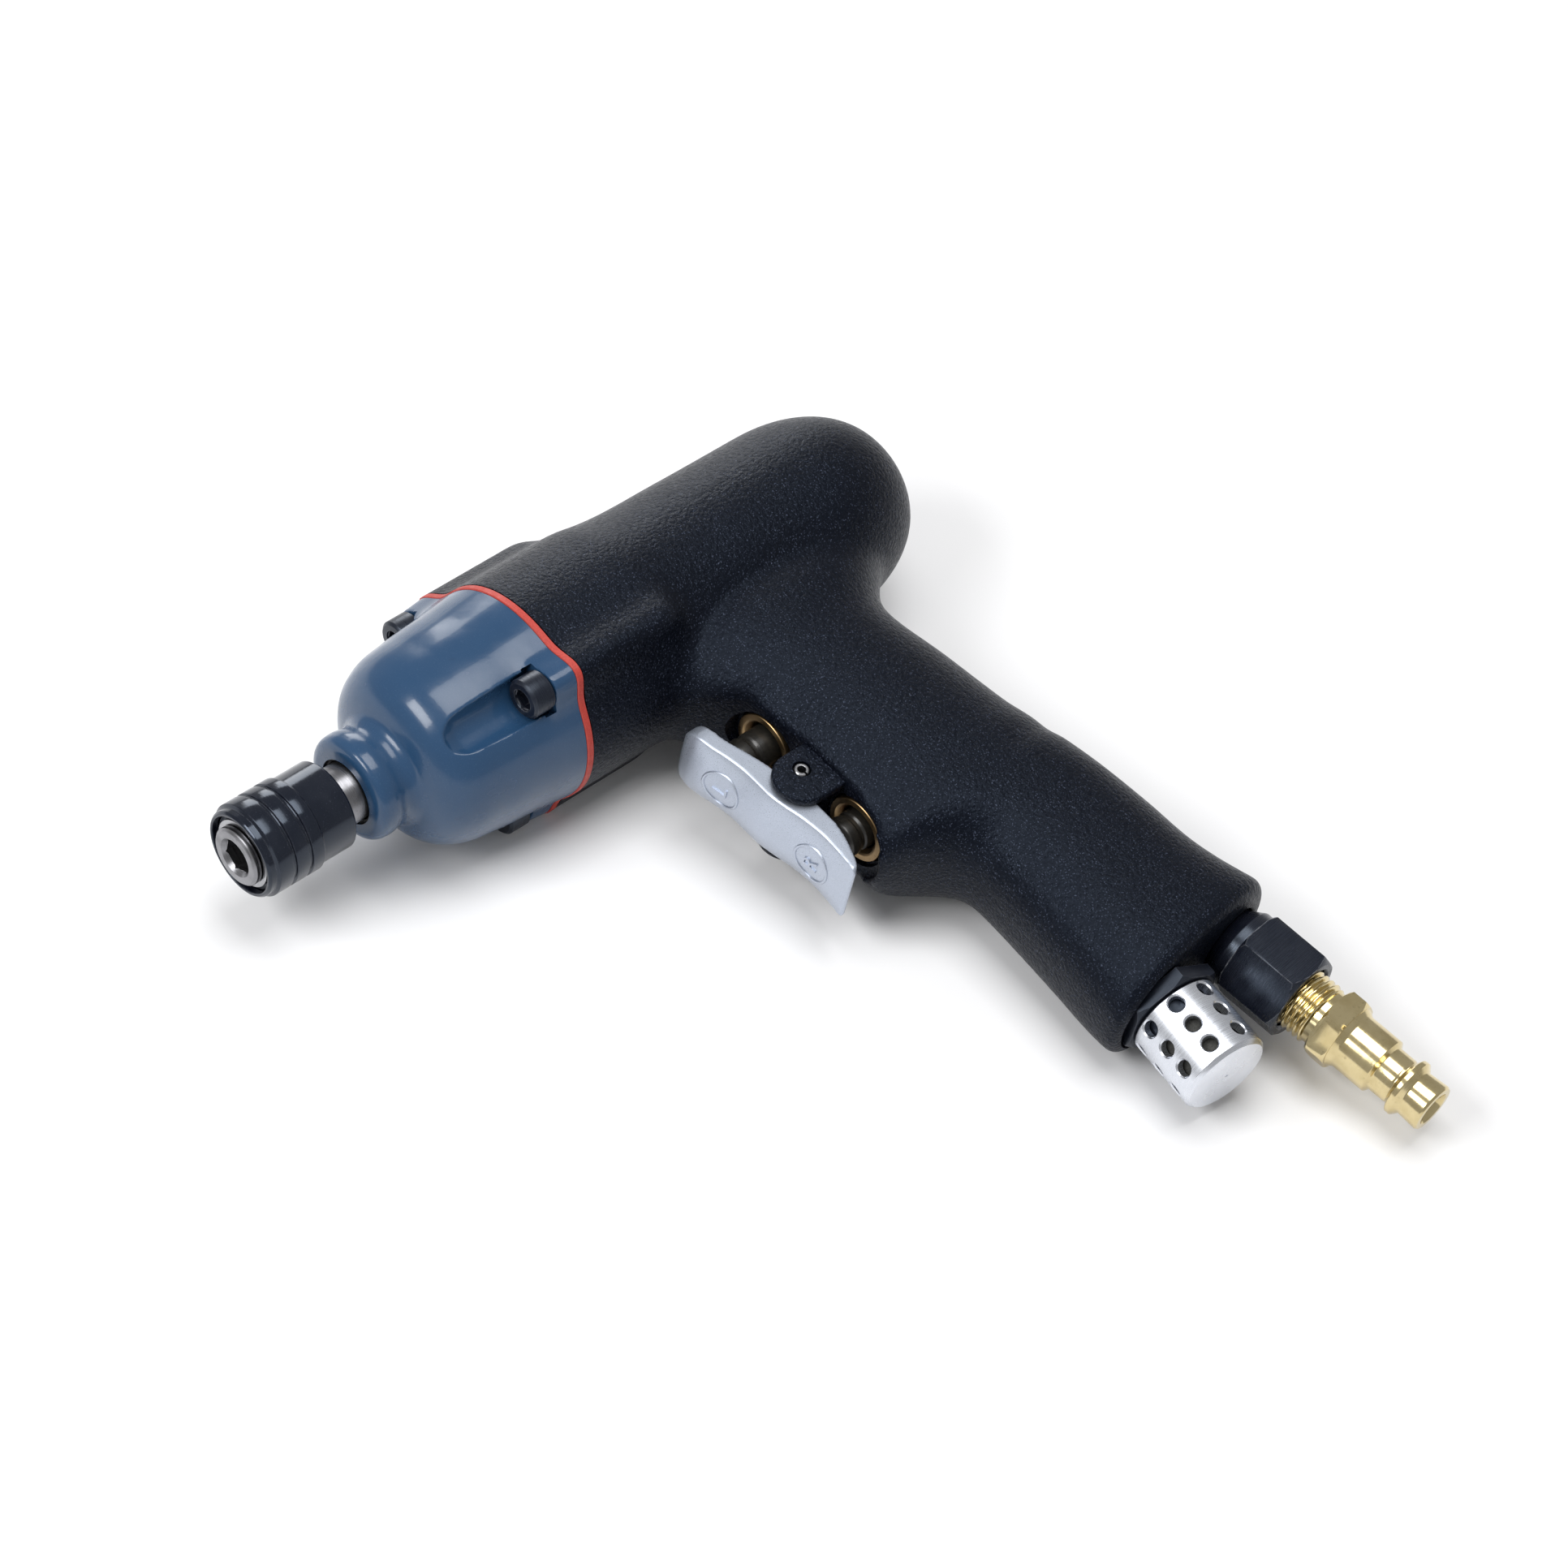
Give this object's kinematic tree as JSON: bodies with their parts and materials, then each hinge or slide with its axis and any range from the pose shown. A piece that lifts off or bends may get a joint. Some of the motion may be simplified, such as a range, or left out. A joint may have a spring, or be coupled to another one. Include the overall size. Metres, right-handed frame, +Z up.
{
  "type": "impact wrench",
  "caption": "Pistol-grip pneumatic impact driver with a quarter-inch hex quick-change bit holder, rocker trigger, air plug and exhaust muffler.",
  "frame": {"origin": "middle of the bounding box's footprint, on the ground; the tool lies on its right side", "axes": "+X from the drive axis towards the foot of the grip, -Y along the drive axis towards the bit, +Z up, out of the tool's left side"},
  "size_m": [0.2025, 0.165, 0.0463],
  "materials": {
    "housing_black": "fine textured black powder coat on cast aluminium",
    "case_blue": "smooth gloss slate-blue paint on cast aluminium",
    "gasket_red": "red fibre gasket",
    "black_steel": "black oxide steel, semi-gloss",
    "tool_steel": "ground tool steel",
    "spring_steel": "spring steel",
    "bronze": "turned bronze",
    "brass": "machined bright brass",
    "trigger_silver": "satin silver paint on die-cast zinc",
    "muffler_aluminium": "satin anodised aluminium",
    "valve_black": "black acetal",
    "seal_rubber": "black rubber",
    "phenolic": "brown phenolic laminate",
    "felt": "grey felt"
  },
  "bodies": {
    "housing": {"motor_housing": "housing_black", "hammer_case": "case_blue", "case_gasket": "gasket_red", "case_screw_1": "black_steel", "case_screw_2": "black_steel", "case_screw_3": "black_steel", "anvil_bushing": "bronze", "anvil_seal": "seal_rubber", "cylinder_liner": "tool_steel", "front_end_plate": "tool_steel", "rear_end_plate": "tool_steel", "front_bearing_outer_race": "spring_steel", "rear_bearing_outer_race": "spring_steel", "valve_bushing_left": "bronze", "valve_bushing_right": "bronze", "valve_spring_left": "spring_steel", "valve_spring_right": "spring_steel", "trigger_pin": "spring_steel", "inlet_bushing": "black_steel", "inlet_screen": "brass", "air_plug": "brass", "muffler_seat": "black_steel", "muffler_cap": "muffler_aluminium", "muffler_felt": "felt"},
    "rotor": {"rotor": "tool_steel", "vane_1": "phenolic", "vane_2": "phenolic", "vane_3": "phenolic", "vane_4": "phenolic", "vane_5": "phenolic", "vane_6": "phenolic", "front_bearing_inner_race": "spring_steel", "rear_bearing_inner_race": "spring_steel", "hammer_cage": "tool_steel", "hammer_pin_1": "spring_steel", "hammer_pin_2": "spring_steel"},
    "front_ball_cage": {"front_bearing_ball_cage": "spring_steel"},
    "rear_ball_cage": {"rear_bearing_ball_cage": "spring_steel"},
    "hammer_dog_1": {"hammer_dog_1": "tool_steel"},
    "hammer_dog_2": {"hammer_dog_2": "tool_steel"},
    "anvil": {"anvil": "tool_steel", "retaining_ring": "spring_steel", "spring_washer": "black_steel", "sleeve_stop_ring": "spring_steel", "sleeve_spring": "spring_steel"},
    "chuck_sleeve": {"chuck_sleeve": "black_steel"},
    "lock_ball": {"lock_ball": "tool_steel"},
    "trigger": {"trigger": "trigger_silver"},
    "valve_stem_left": {"valve_stem_left": "valve_black"},
    "valve_stem_right": {"valve_stem_right": "valve_black"}
  },
  "joints": [
    {"name": "rotor_spin", "type": "hinge", "parent": "housing", "child": "rotor", "pos_m": [-0.07351, 0.01557, 0.02361], "axis": [0, 1, 0], "continuous": true},
    {"name": "front_cage_spin", "type": "hinge", "parent": "housing", "child": "front_ball_cage", "pos_m": [-0.07351, -0.00813, 0.02361], "axis": [0, 1, 0], "continuous": true},
    {"name": "rear_cage_spin", "type": "hinge", "parent": "housing", "child": "rear_ball_cage", "pos_m": [-0.07351, 0.03927, 0.02361], "axis": [0, 1, 0], "continuous": true},
    {"name": "hammer_dog_1_rock", "type": "hinge", "parent": "rotor", "child": "hammer_dog_1", "pos_m": [-0.06134, -0.02743, 0.02268], "axis": [0, 1, 0], "range_deg": [-2.5, 2.5]},
    {"name": "hammer_dog_2_rock", "type": "hinge", "parent": "rotor", "child": "hammer_dog_2", "pos_m": [-0.08568, -0.02083, 0.02453], "axis": [0, 1, 0], "range_deg": [-2.5, 2.5]},
    {"name": "anvil_spin", "type": "hinge", "parent": "housing", "child": "anvil", "pos_m": [-0.07351, -0.06043, 0.02361], "axis": [0, 1, 0], "continuous": true},
    {"name": "sleeve_slide", "type": "slide", "parent": "anvil", "child": "chuck_sleeve", "axis": [0, -1, 0], "range_m": [0, 0.004], "stiffness_N_per_m": 900, "springref_m": -0.004, "deforming": ["sleeve_spring"]},
    {"name": "lock_ball_release", "type": "slide", "parent": "anvil", "child": "lock_ball", "axis": [0.0755, 0, 0.9971], "range_m": [0, 0.0006]},
    {"name": "trigger_rock", "type": "hinge", "parent": "housing", "child": "trigger", "pos_m": [-0.02315, 0.01347, 0.01979], "axis": [0.0755, 0, 0.9971], "range_deg": [-7, 7], "stiffness_Nm_per_rad": 0.6},
    {"name": "valve_stem_left_slide", "type": "slide", "parent": "housing", "child": "valve_stem_left", "axis": [0, 1, 0], "range_m": [-0.0017, 0.0017], "deforming": ["valve_spring_left"]},
    {"name": "valve_stem_right_slide", "type": "slide", "parent": "housing", "child": "valve_stem_right", "axis": [0, 1, 0], "range_m": [-0.0017, 0.0017], "deforming": ["valve_spring_right"]}
  ],
  "couplings": [
    {"joint": "front_cage_spin", "follows": "rotor_spin", "ratio": 0.4},
    {"joint": "rear_cage_spin", "follows": "rotor_spin", "ratio": 0.4},
    {"joint": "lock_ball_release", "follows": "sleeve_slide", "ratio": 0.15},
    {"joint": "valve_stem_left_slide", "follows": "trigger_rock", "m_per_rad": -0.013},
    {"joint": "valve_stem_right_slide", "follows": "trigger_rock", "m_per_rad": 0.0122}
  ]
}
